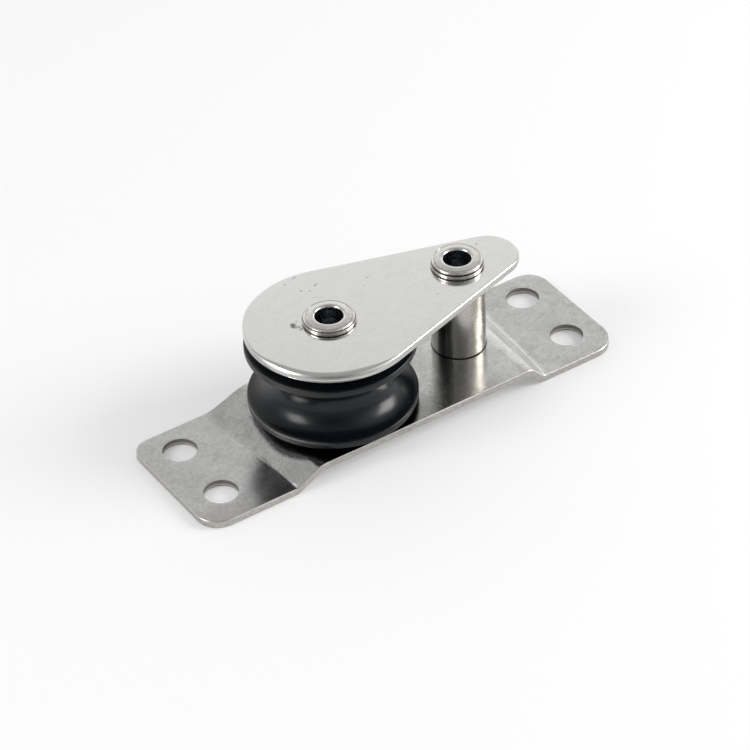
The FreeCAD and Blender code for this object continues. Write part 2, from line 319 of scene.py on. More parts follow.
# %% [markdown]
# ## Marks that steel collects
# Stainless sheet that has been handled shows three kinds of mark: a cloudy mottle left by the
# mill, short scratches at random angles, and pits. One scratch can be drawn inside each cell of
# a Voronoi texture: the cell's colour gives it an angle, and the distance to a line through the
# cell's point gives it a width. That keeps them sparse and never repeats, which a stretched
# noise would not.

# %% Scratches and pits


def scratches(finish, place, spacing, width, length, shift):
    """Thin straight marks at random angles, one or none in each cell of the given spacing."""
    x, y, _ = finish.parts(place)
    flat = finish.add("ShaderNodeCombineXYZ", {}, {"X": x + shift, "Y": y - shift, "Z": 0.0})
    cells = finish.add("ShaderNodeTexVoronoi", {"voronoi_dimensions": "2D"},
                       {"Vector": flat, "Scale": 1 / spacing, "Randomness": 1.0}, "Position")
    draw = Amount(finish, cells.socket.node.outputs["Color"])
    turn, keep, _ = finish.parts(draw)
    away_x, away_y, _ = finish.parts(finish.vector("SUBTRACT", flat, cells))
    angle = turn * math.tau
    cosine, sine = angle.math("COSINE"), angle.math("SINE")
    off_line = (away_x * sine - away_y * cosine).size()
    lengthways = (away_x * cosine + away_y * sine).size()
    line = 1.0 - finish.between(off_line, width * 0.3, width)
    ends = 1.0 - finish.between(lengthways, length * 0.2, length * 0.5)
    return line * ends * finish.between(keep, 0.35, 0.9)


def pits(finish, place, spacing, radius, shift):
    """Small round spots, one or none in each cell."""
    moved = finish.vector("ADD", place, (shift, -shift, 0.0))
    gap = finish.add("ShaderNodeTexVoronoi", {"voronoi_dimensions": "3D"},
                     {"Vector": moved, "Scale": 1 / spacing, "Randomness": 1.0}, "Distance")
    keep, _, _ = finish.parts(Amount(finish, gap.socket.node.outputs["Color"]))
    return (1.0 - finish.between(gap * spacing, radius * 0.4, radius)) * finish.between(keep, 0.6, 0.8)


def spot(finish, place, centre, radius, squash=1.0, angle=0.0):
    """One soft spot at a place in millimetres, drawn out along an angle by squash."""
    x, y, z = finish.parts(finish.vector("SUBTRACT", place, centre))
    cosine, sine = math.cos(math.radians(angle)), math.sin(math.radians(angle))
    lengthways = (x * cosine + y * sine) / squash
    aside = y * cosine - x * sine
    reach = (lengthways * lengthways + aside * aside + z * z).math("SQRT")
    return 1.0 - finish.between(reach, radius * 0.35, radius)


print("marks ready")

# %% [markdown]
# ## Satin stainless
# The base is plain rolled sheet that was folded cold. It mirrors the sheave and the tube, but
# softly, so its roughness sits near a fifth and wanders with the mottle. Under the sheave a
# ragged dark circle deepens what the steel mirrors there: it is a painted reflection and shadow
# of the sheave, and a dark patch beside the left fold is painted the same way. The sheared edge
# is darker and warmer, with a painted highlight along its top. The creases carry painted
# highlights and painted shade, the right fold's slope a painted sheen, the base round the tube's
# foot a painted contact shadow, and the holes a painted highlight and shadow low on their walls.
# The mesh stores how far a point is down the edge in an attribute named edge, and in the holes
# also in one named bore, because no texture could know where the sheet was cut.

# %% Satin finish
base_low, base_high = (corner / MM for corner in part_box("base_plate"))
axle, tail = (sum(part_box(name), Vector()) / 2 / MM for name in ("axle_sleeve", "spacer_tube"))
TUBE_RADIUS = 5.2
SHEET = 1.5
LEFT_CREASE, RIGHT_CREASE = (-27.4, -28.9, 1.0), (28.0, 30.0, 0.5)
SHEAVE_SHADE_RADIUS = 15.6
BASE_MARKS = [
    ((-24.6, 5.9, 3.2), 0.28, 1.0, 0, 0.9),
    ((-27.6, -4.3, 1.6), 0.22, 4.0, 60, 0.5),
    ((-27.1, -5.0, 1.6), 0.18, 3.5, 60, 0.5),
]


def satin_stainless():
    f = Finish("satin_stainless")
    place = f.millimetres()
    x, y, z = f.parts(place)
    cloud = f.noise(place, 0.13, 4.0, 0.6)
    mottle = f.noise(place, 0.62, 6.0, 0.7)
    speckle = f.noise(place, 2.3, 4.0, 0.7)
    stain = f.noise(f.vector("ADD", place, (31.0, 7.0, 0.0)), 0.3, 4.0, 0.62)
    streaks = f.noise(f.millimetres((0.07, 2.6, 1.0)), 1.0, 3.0, 0.55)
    blotches = f.noise(f.vector("ADD", place, (5.0, 17.0, 0.0)), 1.15, 3.0, 0.55)
    long_marks = scratches(f, place, 13.0, 0.06, 12.0, 3.7)
    short_marks = scratches(f, place, 5.2, 0.07, 3.6, 11.3)
    fine_marks = scratches(f, place, 2.2, 0.05, 1.9, 23.9)
    marks = (long_marks + short_marks * 0.7 + fine_marks * 0.45).clipped()
    dark_marks = (scratches(f, place, 3.7, 0.09, 4.4, 41.3)
                  + scratches(f, place, 1.7, 0.08, 1.6, 57.1) * 0.8).clipped()
    grain = f.noise(place, 5.2, 2.0, 0.6)
    pitted = pits(f, place, 3.1, 0.17, 1.9)
    for centre, radius, squash, angle, strength in BASE_MARKS:
        pitted = pitted.at_least(spot(f, place, centre, radius, squash, angle) * strength)

    share = ((y - base_low.y) / (base_high.y - base_low.y)).clipped()

    def past(crease):
        """How far x is past a crease, whose place changes from the front to the back."""
        return x - share.math("POWER", crease[2]) * (crease[1] - crease[0]) - crease[0]

    def beside(crease, shift, width):
        return 1.0 - f.between((past(crease) - shift).size(), width * 0.4, width)

    fading = 1.0 - f.between(y, -9.0, 4.0)
    patchy = f.between(f.noise(f.millimetres((1.0, 0.5, 1.0)), 1.1, 3.0, 0.6), 0.3, 0.62)
    # Bright lines along the right fold's creases and a spot at the left crease's front end: painted
    # highlights and a painted glint.
    crease_glints = (beside(RIGHT_CREASE, -0.1, 0.14) * 0.6 + beside(RIGHT_CREASE, 0.5, 0.12) * 0.5) * fading
    crease_glints = crease_glints * (0.45 + patchy * 0.55)
    crease_glints = crease_glints.at_least(spot(f, place, (-27.2, -13.7, 1.6), 0.42, 2.6, 90)).clipped()
    # A thin dark line along the front half of the left crease: painted shade in the crease.
    crease_shade = beside(LEFT_CREASE, 0.0, 0.16) * (1.0 - f.between(y, -5.0, -1.0)) * (0.4 + patchy * 0.6)
    # A dark ring on the base where the tube stands: a painted contact shadow.
    from_tube = f.distance(x - tail.x, y)
    tube_foot_shade = (1.0 - f.between((from_tube - TUBE_RADIUS).size(), 0.05, 0.26)) * f.between(z, 3.9, 4.2) * 0.8
    # The slope of the right fold is painted a little lighter: a painted sheen.
    ramp = f.between(x, 25.3, 26.3) * (1.0 - f.between(past(RIGHT_CREASE), -0.6, 0.2))
    # A ragged dark circle about the axle: a painted reflection and shadow of the black sheave.
    from_axle = f.distance(x - axle.x, y)
    from_sheave_shade = (from_axle + (speckle - 0.5) * 0.55 + (blotches - 0.5) * 0.4
                - (y * -0.17).at_least(0.0) + f.between(x, -8.0, 3.0) * 1.7)
    sheave_shade = 1.0 - f.between(from_sheave_shade, SHEAVE_SHADE_RADIUS - 0.4, SHEAVE_SHADE_RADIUS + 0.35)
    sheave_shade = sheave_shade * (1.0 - f.between(speckle, 0.5, 0.68) * 0.3 - f.between(grain, 0.5, 0.68) * 0.15)
    # A dark patch on the left flange beside its fold: a painted reflection and shade of the sheave.
    inwards = (x + 32.4) * 0.73 - (y + 6.3) * 0.683
    fold_patch_shade = f.between(inwards, -1.4, 1.5) * (1.0 - f.between(inwards, 2.4, 4.6))
    fold_patch_shade = fold_patch_shade * (1.0 - f.between(y, -6.0, -4.2)) * (1.0 - f.between(x, -28.6, -27.6))
    fold_patch_shade = fold_patch_shade * (0.25 + f.between(y, -13.0, -9.5) * 0.75) * (0.75 + patchy * 0.25)
    flecks = f.between(speckle, 0.42, 0.62) * 0.3 + f.between(mottle, 0.4, 0.62) * 0.24

    edge, bore = f.stored("edge"), f.stored("bore")
    sheared = f.between(edge, 0.5, 0.95)
    # A bright band along the top rounding of the sheared edge: a painted highlight.
    edge_glint = f.between(edge, 0.12, 0.3) * (1.0 - f.between(edge, 0.7, 1.0))
    torn = f.between(f.noise(f.millimetres((1.4, 1.4, 4.0)), 1.0, 4.0, 0.65), 0.35, 0.65)
    wall = f.between(bore, 0.05, 0.4)
    # The hole walls are dark, with a pale band low down, a painted highlight, and a dark foot below it, a
    # painted contact shadow.
    lit_foot = f.between(z, 0.3, 0.36) * (1.0 - f.between(z, 0.55, 0.75))

    tone = f.add("ShaderNodeValToRGB",
                 {"stops": [(0.38, (0.48, 0.478, 0.468, 1)), (0.62, (0.76, 0.76, 0.75, 1))]},
                 {"Fac": cloud * 0.28 + mottle * 0.26 + blotches * 0.14 + speckle * 0.18 + grain * 0.14})
    shear_tone = f.blend(torn, (0.39, 0.375, 0.35, 1), (0.56, 0.54, 0.505, 1))
    wall_tone = f.layers(
        (0.24, 0.235, 0.22, 1),
        (lit_foot, (0.60, 0.57, 0.51, 1)),
        (1.0 - f.between(z, 0.28, 0.36), (0.02, 0.02, 0.02, 1)))
    tone = f.layers(
        tone,
        (f.between(stain, 0.5, 0.68) * 0.4, (0.43, 0.405, 0.365, 1)),
        (flecks, (0.25, 0.25, 0.245, 1)),
        ((1.0 - f.between(x, -31.0, -27.5)) * 0.22, (0.40, 0.40, 0.395, 1)),
        (spot(f, place, (-41.0, -12.6, 1.5), 5.0, 1.3, 10) * 0.35, (0.36, 0.33, 0.29, 1)),
        # painted sheen on the right fold's slope
        (ramp * 0.12, (0.93, 0.93, 0.92, 1)),
        # painted reflection and shade beside the left fold
        (fold_patch_shade * 0.5, (0.12, 0.13, 0.145, 1)),
        (marks * 0.35, (0.70, 0.695, 0.68, 1)),
        (dark_marks * 0.5 * f.between(blotches, 0.38, 0.6), (0.27, 0.26, 0.245, 1)),
        (pitted * 0.8, (0.12, 0.115, 0.11, 1)),
        # painted reflection and shadow of the sheave
        (sheave_shade * 0.92, (0.04, 0.042, 0.045, 1)),
        # painted highlights along the creases
        (crease_glints * 0.8, (0.92, 0.92, 0.91, 1)),
        # painted shade in the left crease, and a painted contact shadow round the tube's foot
        ((crease_shade * 0.6).at_least(tube_foot_shade * 0.92), (0.06, 0.06, 0.06, 1)),
        (sheared * 0.9, shear_tone),
        # painted highlight along the top of the sheared edge
        (edge_glint * 0.42, (0.95, 0.94, 0.91, 1)),
        (wall, wall_tone))
    rough = 0.175 + cloud * 0.05 + (mottle - 0.5) * 0.08 + (blotches - 0.5) * 0.06 + (streaks - 0.5) * 0.04
    rough = rough + marks * 0.06 + pitted * 0.2 + sheared * 0.16 + f.between(bore, 0.0, 0.3) * 0.3
    rough = rough + crease_glints * 0.1 + tube_foot_shade * 0.2
    height = mottle * 0.35 + blotches * 0.4 + speckle * 0.05 + streaks * 0.1 + torn * sheared * 0.4
    height = height - marks * 0.3 - dark_marks * 0.3 - pitted * 0.8 + crease_glints * 0.2 - crease_shade * 0.4
    return f.surface(base_color=tone, metallic=1.0, roughness=rough.clipped(),
                     normal=f.relief(height, 0.22))


satin = satin_stainless()
print(satin.name, "has", len(satin.node_tree.nodes), "nodes")

# %% [markdown]
# ## Polished stainless
# The cheek plate, tubes, rivets and washers are polished. They are brighter and sharper than
# the base, and what tells them from chrome is a faint haze and hair scratches. The cheek plate
# also has marks of its own: a bruise beside the axle washer where the rivet tool slipped, and a
# few dark specks. Those are listed one by one as soft spots, because they are single events. The
# rivets have grime in fine rings. The seams below their heads, where the washers meet the plate
# and round the tube's foot are painted dark, a painted contact shadow with some grime. The
# rivets' fine groove is painted shade and their bores a painted reflection. One side of the tube
# is painted darker, browner and a little rougher, a painted shade that dims the lamp's highlight
# there, and the cheek plate's rounded edge has painted shade near its top and on its side.

# %% Polished finish
SHOULDER_LINE = 4.34
CHEEK_MARKS = [  # x, y, radius, how drawn out, along which angle, strength
    (-16.0, 2.5, 0.74, 1.6, 70, 0.9),
    (-15.35, 0.75, 0.36, 1.5, 20, 0.85),
    (-15.6, 1.7, 0.6, 1.8, -30, 0.5),
    (-14.9, 3.2, 0.2, 3.2, 40, 0.4),
    (-9.2, 10.5, 0.36, 1.2, 0, 0.45),
    (-7.9, 9.5, 0.32, 1.2, 0, 0.45),
    (-6.0, 10.5, 0.3, 2.6, 30, 0.5),
    (-10.6, 13.9, 0.25, 1.0, 0, 0.6),
    (-8.1, 14.6, 0.3, 2.5, 20, 0.4),
    (-8.0, 7.2, 0.12, 16.0, -35, 0.3),
    (2.9, 6.6, 0.22, 1.3, 0, 0.5),
    (1.2, 5.0, 0.2, 1.3, 0, 0.4),
    (10.7, -5.2, 0.22, 1.5, 20, 0.45),
    (25.3, 3.2, 0.26, 1.0, 0, 0.95),
    (25.2, 1.8, 0.16, 1.0, 0, 0.5),
]


def polished_stainless(name, colour, roughness, marks=(), haze=0.06, seams=(), drawn=0.0, bores=(),
                       grimy=(0.3, 0.26, 0.21, 1), shaded_side=()):
    f = Finish(name)
    place = f.millimetres()
    cloud = f.noise(place, 0.22, 4.0, 0.6)
    grain = f.noise(place, 2.4, 4.0, 0.6)
    smears = f.noise(f.millimetres((0.3, 0.55, 1.0)), 1.0, 5.0, 0.7)
    drawn_lines = f.noise(f.millimetres((2.6, 2.6, 0.1)), 1.0, 3.0, 0.6)
    hairs = (scratches(f, place, 7.0, 0.05, 8.0, 5.1) + scratches(f, place, 2.6, 0.05, 2.8, 17.7)).clipped()
    specks = pits(f, place, 5.0, 0.14, 7.3)
    edge = f.stored("edge")
    # On the rounded edge, a dark band near its top and a darker side below: painted shade.
    edge_shade = f.between(edge, 0.0, 0.08) * (1.0 - f.between(edge, 0.34, 0.55))

    tone = f.layers(
        tuple(c * 0.96 for c in colour) + (1,),
        (cloud, tuple(c * 1.03 for c in colour) + (1,)),
        (f.between(smears, 0.4, 0.7) * 0.07 + f.between(grain, 0.45, 0.7) * 0.08, (0.3, 0.3, 0.29, 1)),
        (specks * 0.7, (0.1, 0.095, 0.09, 1)),
        (edge_shade * 0.16 + f.between(edge, 0.6, 0.95) * 0.3, (0.1, 0.1, 0.1, 1)))
    dirt = hairs * 0.13
    for mark_x, mark_y, radius, squash, angle, strength in marks:
        mark = spot(f, place, (mark_x, mark_y, plate_top), radius, squash, angle)
        dirt = dirt.at_least(mark * strength)
    broken = f.between(grain, 0.3, 0.6)
    x, y, z = f.parts(place)
    # Dark lines at the seams where parts meet: painted contact shadow with some grime.
    seam_shade_and_grime = 0.0
    for seam_z, width, strength in seams:
        seam_shade_and_grime = (1.0 - f.between((z - seam_z).size(), width * 0.4, width)) * strength + seam_shade_and_grime
    if seams:
        tone = f.layers(
            tone,
            ((1.0 - f.between(z, washer_top - 0.1, washer_top + 0.1)) * broken * 0.5, grimy),
            ((seam_shade_and_grime * (0.7 + broken * 0.3)).clipped(), (0.035, 0.033, 0.03, 1)))
    height = grain * 0.15 - hairs * 0.5 - specks * 0.8 + drawn_lines * drawn
    rough = roughness + cloud * haze + (grain - 0.5) * 0.05 + hairs * 0.06 + edge * 0.12
    if bores:
        first, second = (f.distance(x - centre_x, y) for centre_x in bores)
        away = first.math("MINIMUM", second)
        around = f.add("ShaderNodeCombineXYZ", {}, {"X": x * 0.4, "Y": y * 0.4, "Z": away * 4.0 + z})
        rings = f.noise(around, 1.0, 4.0, 0.65)
        # The fine groove round the shoulder is painted dark: painted shade in the groove.
        groove = 1.0 - f.between((away - SHOULDER_LINE).size(), 0.05, 0.2)
        groove = groove * f.between(z, washer_top + 0.2, washer_top + 0.3)
        tone = f.layers(
            tone,
            (f.between(rings, 0.48, 0.62) * 0.3, grimy),
            # Inside the bores the colour is cooler and a little darker: a painted reflection.
            (1.0 - f.between(away, 2.65, 2.8), (0.62, 0.64, 0.67, 1)),
            (groove * broken * 0.45, (0.12, 0.11, 0.10, 1)))
        height = height + rings * 2.0 + f.noise(place, 0.8, 2.0, 0.5) * 16.0
    # One side of the tube is painted darker and browner: a painted shade that dims the right lamp's highlight
    # there, brown like grime.
    for centre_x, azimuth in shaded_side:
        towards = facing(azimuth, 0)
        side = ((x - centre_x) * towards.x + y * towards.y) / TUBE_RADIUS
        side_shade = f.between(side, 0.88, 0.98) * (0.55 + f.between(smears, 0.35, 0.6) * 0.45)
        tone = f.blend(side_shade * 0.62, tone, (0.26, 0.225, 0.175, 1))
        rough = rough + side_shade * 0.08
    tone = f.blend(dirt * (0.55 + broken * 0.45), tone, (0.08, 0.075, 0.07, 1))
    rough = rough + dirt * 0.15
    return f.surface(base_color=tone, metallic=1.0, roughness=rough.clipped(),
                     normal=f.relief(height - dirt * 0.9, 0.16))


WASHER_RADIUS = 5.05
plate_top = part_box("cheek_plate")[1].z / MM
washer_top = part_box("axle_head_washer")[1].z / MM
cheek_finish = polished_stainless("polished_cheek", (0.71, 0.708, 0.69), 0.10, CHEEK_MARKS)
tube_finish = polished_stainless("polished_tube", (0.54, 0.535, 0.52), 0.19, drawn=0.5,
                                 seams=[(base_high.z, 0.2, 0.85)], grimy=(0.4, 0.38, 0.34, 1),
                                 shaded_side=[(tail.x, 16)])
rivet_finish = polished_stainless("rolled_rivet", (0.66, 0.645, 0.615), 0.12, haze=0.08,
                                  seams=[(plate_top, 0.3, 1.0), (washer_top + 0.03, 0.12, 0.75)],
                                  bores=(axle.x, tail.x))
print("polished finishes for the cheek, the tubes and the rivets")

# %% [markdown]
# ## Black plastic
# The sheave is moulded black plastic. Rope and fingers have worn its two rims paler on one side,
# with a bright line along the lower rim, and the groove shows fine rings from turning and is
# duller in its upper half. Rings follow the distance from the axle, so the pattern reads the
# piece's own coordinates, measured from the axle, and turns with the sheave.

# %% Plastic finishes
sheave_low, sheave_high = (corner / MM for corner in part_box("sheave"))
SHEAVE_RADIUS = (sheave_high.y - sheave_low.y) / 2


def black_plastic():
    f = Finish("black_plastic")
    place = f.vector("SUBTRACT", f.millimetres(), (axle.x, axle.y, 0.0))
    x, y, z = f.parts(place)
    radius = f.distance(x, y)
    rim = f.between(radius, SHEAVE_RADIUS - 0.9, SHEAVE_RADIUS - 0.15)
    cloud = f.noise(place, 0.3, 4.0, 0.6)
    grain = f.noise(place, 3.0, 4.0, 0.6)
    around = f.add("ShaderNodeCombineXYZ", {}, {"X": x * 0.25, "Y": y * 0.25, "Z": z * 5.0 + radius * 5.0})
    rings = f.noise(around, 1.0, 3.0, 0.6)
    lint = pits(f, place, 2.2, 0.14, 4.1)
    round_rim = f.noise(f.millimetres((0.16, 0.16, 2.4)), 1.0, 4.0, 0.65)
    rope_side = f.between((x * -0.98 - y * 0.15) / SHEAVE_RADIUS, 0.66, 0.92)
    worn = rim * (f.between(round_rim, 0.42, 0.68) * 0.1 + rope_side * 0.8)
    worn = worn * (0.4 + f.between(grain, 0.35, 0.65) * 0.6)
    rim_top = sheave_low.z + 1.55
    line = 1.0 - f.between((z - rim_top).size(), 0.06, 0.2)
    line = line * f.between(radius, SHEAVE_RADIUS - 0.4, SHEAVE_RADIUS - 0.2)
    line = line * f.between((x * -0.963 - y * 0.277) / SHEAVE_RADIUS, 0.72, 0.95)
    line = line * (0.3 + f.between(round_rim, 0.35, 0.6) * 0.7)
    under_rim = f.between(z, axle.z - 0.2, axle.z + 1.4) * (1.0 - rim)

    tone = f.blend(cloud, (0.001, 0.0022, 0.0035, 1), (0.002, 0.0042, 0.0065, 1))
    tone = f.blend(rim * 0.01 + worn * 0.7, tone, (0.075, 0.072, 0.066, 1))
    tone = f.blend((lint * 0.35).at_least(line * 0.55), tone, (0.3, 0.3, 0.29, 1))
    rough = 0.2 + cloud * 0.06 + (rings - 0.5) * 0.12 + rim * 0.05 + worn * 0.16 + (grain - 0.5) * 0.06
    rough = rough + under_rim * 0.16
    height = rings * 0.5 + grain * 0.25 + lint * 0.6
    return f.surface(base_color=tone, roughness=rough.clipped(), ior=1.39, normal=f.relief(height, 0.18))


def pale_plastic():
    f = Finish("pale_plastic")
    place = f.millimetres()
    cloud = f.noise(place, 0.5, 4.0, 0.6)
    grain = f.noise(place, 4.0, 3.0, 0.6)
    tone = f.blend(cloud, (0.62, 0.61, 0.57, 1), (0.74, 0.73, 0.69, 1))
    return f.surface(base_color=tone, roughness=0.38 + grain * 0.1, ior=1.5, normal=f.relief(grain, 0.15))


sheave_finish = black_plastic()
bearing_finish = pale_plastic()
print("plastic finishes for the sheave and its thrust washers")

# %% [markdown]
# ## Cutting a plate from sheet
# Both plates start flat: an outline, some holes, and edges that tumbling has softened. An
# outline of tangent arcs has one clear outward direction at every point, so each loop can be
# drawn again a little further in and lower down, which rounds the edge exactly. A Bevel
# modifier would need a clean mesh around each hole first.

# %% Plate maker


def arc(centre_x, centre_y, radius, start, end, steps, inwards=False):
    """Points (x, y, outward x, outward y) along an arc; angles in degrees, anticlockwise."""
    points = []
    for step in range(steps + 1):
        angle = math.radians(start + (end - start) * step / steps)
        cosine, sine = math.cos(angle), math.sin(angle)
        side = -1 if inwards else 1
        points.append((centre_x + radius * cosine, centre_y + radius * sine, side * cosine, side * sine))
    return points


def hole(centre_x, centre_y, radius, steps=64):
    return arc(centre_x, centre_y, radius, 0, 360, steps, inwards=True)[:-1]


def edge_levels(thickness, top_round, low_round, steps=8):
    """(inset, height, how far down the edge) from the top face to the underside."""
    levels = []
    for step in range(steps + 1):
        turn = math.pi / 2 * step / steps
        levels.append((top_round * (1 - math.sin(turn)), thickness - top_round * (1 - math.cos(turn)),
                       step / steps))
    for step in range(steps + 1):
        turn = math.pi / 2 * step / steps
        levels.append((low_round * (1 - math.cos(turn)), low_round * (1 - math.sin(turn)), 1.0))
    return levels


def cut_plate(loops, thickness, low_z=0.0):
    """A flat plate in millimetres.

    A loop is (points, top rounding, lower rounding, "bore" if it is one). The top rounding is a
    number, or a function of the outward direction at each point.
    """
    plate = bmesh.new()
    down_edge = plate.verts.layers.float.new("edge")
    in_bore = plate.verts.layers.float.new("bore")
    rims = {"top": [], "low": []}
    for points, top_round, low_round, *bored in loops:
        columns = []
        for x, y, out_x, out_y in points:
            here = top_round(out_x, out_y) if callable(top_round) else top_round
            column = []
            for inset, height, share in edge_levels(thickness, here, low_round):
                vert = plate.verts.new((x - inset * out_x, y - inset * out_y, low_z + height))
                vert[down_edge] = share
                vert[in_bore] = share if bored else 0.0
                column.append(vert)
            columns.append(column)
        rings = list(zip(*columns))
        for upper, lower in zip(rings, rings[1:]):
            for n in range(len(points)):
                following = (n + 1) % len(points)
                plate.faces.new((upper[n], upper[following], lower[following], lower[n]))
        for name, ring in (("top", rings[0]), ("low", rings[-1])):
            rims[name] += [plate.edges.get((ring[n - 1], ring[n])) for n in range(len(ring))]
    for name in rims:
        bmesh.ops.triangle_fill(plate, edges=rims[name], use_beauty=True, use_dissolve=False)
    bmesh.ops.recalc_face_normals(plate, faces=plate.faces)
    return plate


def evaluated_mesh(source, name):
    """The mesh that an object's modifiers make; the object itself is removed."""
    graph = bpy.context.evaluated_depsgraph_get()
    mesh = bpy.data.meshes.new_from_object(source.evaluated_get(graph), depsgraph=graph)
    mesh.name = name
    bpy.data.objects.remove(source)
    return mesh


def steady_normals(source):
    """Let the large flat faces decide the shading, so that rounded edges don't bend it."""
    modifier = source.modifiers.new("steady", "WEIGHTED_NORMAL")
    modifier.mode, modifier.weight, modifier.keep_sharp = "FACE_AREA", 50, True


def place_piece(name, mesh, finish, body, slot, *nodes):
    """Put a finished mesh in the model, in place of the measured nodes."""
    mesh.materials.clear()
    mesh.materials.append(finish)
    piece = new_object(name, mesh)
    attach(piece, body)
    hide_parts(*nodes)
    corners = [Vector(c) / MM for c in piece.bound_box]
    low, high = (Vector(map(pick, *corners)) for pick in (min, max))
    mesh.calc_loop_triangles()
    print(f"{name}: {len(mesh.loop_triangles)} triangles,",
          " ".join(f"{a} {low[i]:.2f} to {high[i]:.2f}" for i, a in enumerate("xyz")))


def plate_piece(plate, name, *rest):
    """Turn a plate drawn in millimetres into a shaded piece in metres."""
    bmesh.ops.scale(plate, vec=(MM, MM, MM), verts=plate.verts)
    mesh = bpy.data.meshes.new(name + "_drawn")
    plate.to_mesh(mesh)
    plate.free()
    mesh.shade_smooth()
    source = new_object(name + "_drawn", mesh)
    steady_normals(source)
    place_piece(name, evaluated_mesh(source, name), *rest)


print("plate maker ready")

# %% [markdown]
# ## The cheek plate
# The cheek keeps the rope in the groove. It is a teardrop: one arc over the sheave, a smaller
# one round the second rivet, and two lines that touch both. The angle where a line leaves an
# arc follows from the two radii and the distance between them, so it is worked out and not
# drawn by eye. The upper edge was rounded by hand, so its rounding follows the side it faces.

# %% Cheek plate
cheek_low, cheek_high = (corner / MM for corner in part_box("cheek_plate"))
CHEEK_ARC, TAIL_ARC = (cheek_high.y - cheek_low.y) / 2, 6.1
RIVET_HOLE = 3.35
FLANK_ROUND, FRONT_ROUND, BACK_ROUND = 0.3, 1.3, 0.8
POLISHED_SIDE = -38.147  # degrees from straight in front
middle_y = (cheek_low.y + cheek_high.y) / 2
arc_x, tail_arc_x = cheek_low.x + CHEEK_ARC, cheek_high.x - TAIL_ARC
lean = math.degrees(math.acos((CHEEK_ARC - TAIL_ARC) / (tail_arc_x - arc_x)))


def hand_rounded(out_x, out_y):
    """The big end is rounded most at the front, where it was held to the polishing wheel."""
    turned = math.degrees(math.atan2(out_x, -out_y)) - POLISHED_SIDE
    away = abs((turned + 180) % 360 - 180)
    if away > 100:
        return FLANK_ROUND + (BACK_ROUND - FLANK_ROUND) * min(1.0, (away - 100) / 20)
    fading = min(1.0, max(0.0, (away - 25) / 33))
    return FLANK_ROUND + (FRONT_ROUND - FLANK_ROUND) * (1 - fading * fading * (3 - 2 * fading))


teardrop = (arc(arc_x, middle_y, CHEEK_ARC, lean, 360 - lean, 160)
            + arc(tail_arc_x, middle_y, TAIL_ARC, -lean, lean, 56))
cheek = cut_plate([(teardrop, hand_rounded, 0.2), (hole(axle.x, 0, RIVET_HOLE), 0.15, 0.15, "bore"),
                   (hole(tail.x, 0, RIVET_HOLE), 0.15, 0.15, "bore")],
                  cheek_high.z - cheek_low.z, cheek_low.z)
plate_piece(cheek, "cheek_cover", cheek_finish, "frame", "polished_stainless", "cheek_plate")

# %% [markdown]
# ## The base strip
# The base is one strip with its middle pressed up, so that the rivets' lower ends clear the
# deck. It is made as in the workshop: the flat blank is cut first, then folded. Folding moves
# each point to the height of a profile and leans its thickness square to the slope. The blank
# needs cuts across each bend, close together, or the bend would come out as a flat facet. The
# folds are not quite parallel and open towards the back, so the cuts are carried along with
# them, between landmarks. The two ends are a little off square.

# %% Fold profile
# A fold is its place, its height, its radius and whether it opens up. A place or a radius is
# given at the front, at the back, and as the power by which it changes between them.
FOLDS = [(LEFT_CREASE, SHEET, (1.0, 11.0, 2.0), True),
         ((-22.0, -21.7, 1.0), base_high.z, (5.0, 9.0, 1.0), False),
         ((25.2, 25.2, 1.0), base_high.z, (2.1, 8.0, 0.5), False),
         (RIGHT_CREASE, SHEET, (0.8, 5.0, 2.0), True)]


def eased(front, back, power, share):
    return front + (back - front) * share ** power


def fold_arcs(share):
    """Each fold as an arc, at a share of the way from the front of the strip to its back."""
    folds = [(eased(*x, share), z, eased(*radius, share), up) for x, z, radius, up in FOLDS]
    corners = [(base_low.x, SHEET)] + [(x, z) for x, z, _, _ in folds] + [(base_high.x, SHEET)]
    arcs = []
    for n, (x, z, radius, opens_up) in enumerate(folds, start=1):
        before = math.atan2(z - corners[n - 1][1], x - corners[n - 1][0])
        after = math.atan2(corners[n + 1][1] - z, corners[n + 1][0] - x)
        reach = radius * math.tan(abs(after - before) / 2)
        side = 1 if opens_up else -1
        start = (x - reach * math.cos(before), z - reach * math.sin(before))
        centre = (start[0] - side * radius * math.sin(before), start[1] + side * radius * math.cos(before))
        arcs.append((start[0], x + reach * math.cos(after), centre, radius, side, before, after))
    return arcs


def profile(x, arcs):
    """Height and slope angle of the strip's top at x."""
    height, last_x, slope = SHEET, base_low.x, 0.0
    for start, end, centre, radius, side, before, after in arcs:
        if x < start:
            return height + (x - last_x) * math.tan(slope), slope
        if x <= end:
            turn = math.asin(max(-1.0, min(1.0, (x - centre[0]) / radius * side)))
            return centre[1] - side * radius * math.cos(turn), turn
        height = centre[1] - side * radius * math.cos(after)
        last_x, slope = end, after
    return height + (x - last_x) * math.tan(slope), slope


for where, share in (("front", 0), ("back", 1)):
    print(where, "folds:", [f"{start:.2f} to {end:.2f}, {math.degrees(after):.0f} deg"
                            for start, end, *_, after in fold_arcs(share)])

